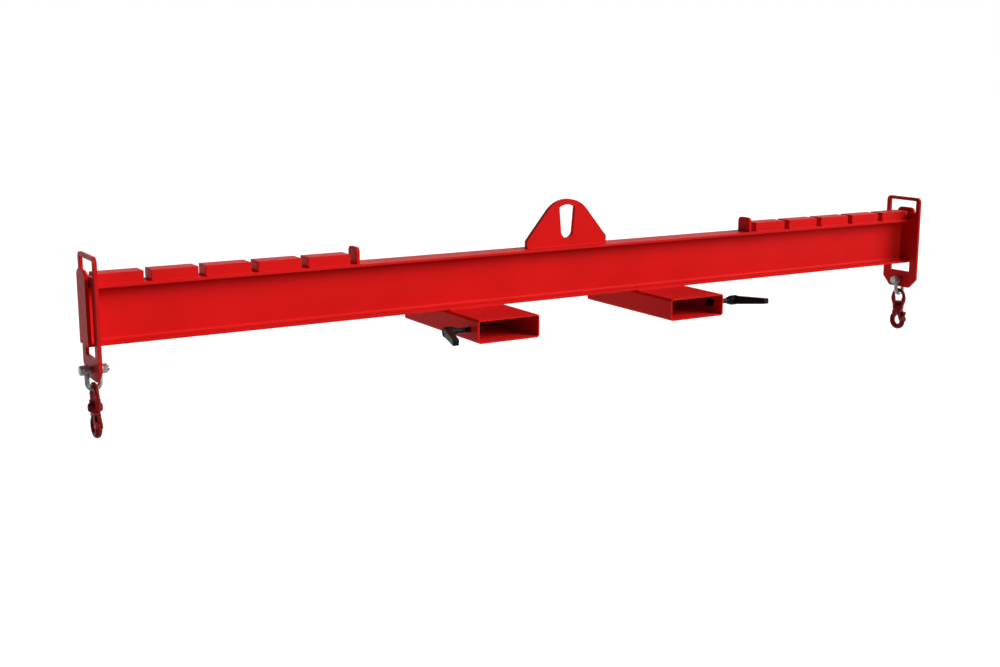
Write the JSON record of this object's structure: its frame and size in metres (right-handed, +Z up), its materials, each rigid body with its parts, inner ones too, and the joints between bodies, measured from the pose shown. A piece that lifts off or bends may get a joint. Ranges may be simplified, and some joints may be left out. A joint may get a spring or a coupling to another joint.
{
  "type": "spreader beam",
  "caption": "Adjustable I-beam lifting spreader with a central lug, fork pockets with clamping screws, notched top flange and two hangers with shackles and swivel safety hooks.",
  "frame": {"origin": "crown of the slot in the lifting lug, where the crane hook bears, on the beam's centre line", "axes": "+X along the beam, -Y towards the clamping screws and the front ends of the fork pockets, +Z up"},
  "size_m": [3.077, 0.5313, 0.565],
  "materials": {
    "beam_red": "smooth powder coat, semi-gloss",
    "hanger_red": "powder coat, semi-gloss",
    "galvanised_steel": "hot-dip galvanised, dull",
    "hook_red": "forged, dark red enamel",
    "pin_steel": "turned steel",
    "black_lever": "black fine-texture coat",
    "blackened_steel": "blackened steel",
    "pad_plastic": "matte moulded"
  },
  "bodies": {
    "beam": {"main_beam": "beam_red", "end_plate_left": "beam_red", "end_plate_right": "beam_red", "lifting_lug": "beam_red", "locating_blocks_left": "beam_red", "locating_blocks_right": "beam_red", "inner_stop_left": "beam_red", "inner_stop_right": "beam_red", "fork_pocket_left": "beam_red", "fork_pocket_right": "beam_red", "weld_nut_left": "blackened_steel", "weld_nut_right": "blackened_steel"},
    "clamp_pad_left": {"clamp_pad_left": "pad_plastic"},
    "clamp_screw_left": {"clamp_stud_left": "blackened_steel", "lever_screw_left": "pin_steel"},
    "clamp_lever_left": {"lever_handle_left": "black_lever"},
    "hanger_left": {"hanger_plate_left": "hanger_red"},
    "shackle_left": {"shackle_bow_left": "galvanised_steel", "shackle_bolt_left": "galvanised_steel", "shackle_nut_left": "galvanised_steel", "cotter_pin_left": "galvanised_steel"},
    "swivel_left": {"swivel_eye_left": "hook_red"},
    "hook_left": {"swivel_nut_left": "hook_red", "hook_body_left": "hook_red", "jaw_pin_left": "pin_steel", "trigger_pin_left": "pin_steel"},
    "jaw_left": {"hook_jaw_left": "hook_red"},
    "trigger_left": {"hook_trigger_left": "hook_red"},
    "clamp_pad_right": {"clamp_pad_right": "pad_plastic"},
    "clamp_screw_right": {"clamp_stud_right": "blackened_steel", "lever_screw_right": "pin_steel"},
    "clamp_lever_right": {"lever_handle_right": "black_lever"},
    "hanger_right": {"hanger_plate_right": "hanger_red"},
    "shackle_right": {"shackle_bow_right": "galvanised_steel", "shackle_bolt_right": "galvanised_steel", "shackle_nut_right": "galvanised_steel", "cotter_pin_right": "galvanised_steel"},
    "swivel_right": {"swivel_eye_right": "hook_red"},
    "hook_right": {"swivel_nut_right": "hook_red", "hook_body_right": "hook_red", "jaw_pin_right": "pin_steel", "trigger_pin_right": "pin_steel"},
    "jaw_right": {"hook_jaw_right": "hook_red"},
    "trigger_right": {"hook_trigger_right": "hook_red"}
  },
  "joints": [
    {"name": "clamp_feed_left", "type": "slide", "parent": "beam", "child": "clamp_pad_left", "axis": [1, 0, 0], "range_m": [-0.0141, 0.0401]},
    {"name": "clamp_turn_left", "type": "hinge", "parent": "clamp_pad_left", "child": "clamp_screw_left", "pos_m": [-0.455, -0.181, -0.326], "axis": [1, 0, 0], "range_deg": [-2520, 7200]},
    {"name": "lever_lift_left", "type": "slide", "parent": "clamp_screw_left", "child": "clamp_lever_left", "axis": [-1, 0, 0], "range_m": [0, 0.005], "stiffness_N_per_m": 1500, "springref_m": -0.006},
    {"name": "hanger_lift_left", "type": "slide", "parent": "beam", "child": "hanger_left", "axis": [0, 0, 1], "range_m": [0, 0.034]},
    {"name": "shackle_swing_left", "type": "hinge", "parent": "hanger_left", "child": "shackle_left", "pos_m": [-1.5, 0, -0.36], "axis": [1, 0, 0], "range_deg": [-24, 24]},
    {"name": "eye_tilt_left", "type": "hinge", "parent": "shackle_left", "child": "swivel_left", "pos_m": [-1.5, 0, -0.3997], "axis": [0, 1, 0], "range_deg": [-45, 45]},
    {"name": "hook_swivel_left", "type": "hinge", "parent": "swivel_left", "child": "hook_left", "pos_m": [-1.5, 0, -0.474], "axis": [0, 0, 1], "continuous": true},
    {"name": "jaw_open_left", "type": "hinge", "parent": "hook_left", "child": "jaw_left", "pos_m": [-1.5, -0.0255, -0.509], "axis": [-1, 0, 0], "range_deg": [0, 50]},
    {"name": "trigger_press_left", "type": "hinge", "parent": "hook_left", "child": "trigger_left", "pos_m": [-1.5, -0.0175, -0.489], "axis": [1, 0, 0], "range_deg": [0, 12], "stiffness_Nm_per_rad": 0.12, "springref_deg": -8.59},
    {"name": "clamp_feed_right", "type": "slide", "parent": "beam", "child": "clamp_pad_right", "axis": [-1, 0, 0], "range_m": [-0.0011, 0.0401]},
    {"name": "clamp_turn_right", "type": "hinge", "parent": "clamp_pad_right", "child": "clamp_screw_right", "pos_m": [0.455, -0.181, -0.326], "axis": [-1, 0, 0], "range_deg": [-180, 7200]},
    {"name": "lever_lift_right", "type": "slide", "parent": "clamp_screw_right", "child": "clamp_lever_right", "axis": [1, 0, 0], "range_m": [0, 0.005], "stiffness_N_per_m": 1500, "springref_m": -0.006},
    {"name": "hanger_lift_right", "type": "slide", "parent": "beam", "child": "hanger_right", "axis": [0, 0, 1], "range_m": [0, 0.034]},
    {"name": "shackle_swing_right", "type": "hinge", "parent": "hanger_right", "child": "shackle_right", "pos_m": [1.5, 0, -0.36], "axis": [1, 0, 0], "range_deg": [-24, 24]},
    {"name": "eye_tilt_right", "type": "hinge", "parent": "shackle_right", "child": "swivel_right", "pos_m": [1.5, 0, -0.3997], "axis": [0, 1, 0], "range_deg": [-45, 45]},
    {"name": "hook_swivel_right", "type": "hinge", "parent": "swivel_right", "child": "hook_right", "pos_m": [1.5, 0, -0.474], "axis": [0, 0, 1], "continuous": true},
    {"name": "jaw_open_right", "type": "hinge", "parent": "hook_right", "child": "jaw_right", "pos_m": [1.5, -0.0255, -0.509], "axis": [-1, 0, 0], "range_deg": [0, 50]},
    {"name": "trigger_press_right", "type": "hinge", "parent": "hook_right", "child": "trigger_right", "pos_m": [1.5, -0.0175, -0.489], "axis": [1, 0, 0], "range_deg": [0, 12], "stiffness_Nm_per_rad": 0.12, "springref_deg": -8.59}
  ],
  "couplings": [
    {"joint": "clamp_feed_left", "follows": "clamp_turn_left", "m_per_rad": 0.00031831},
    {"joint": "clamp_feed_right", "follows": "clamp_turn_right", "m_per_rad": 0.00031831}
  ]
}
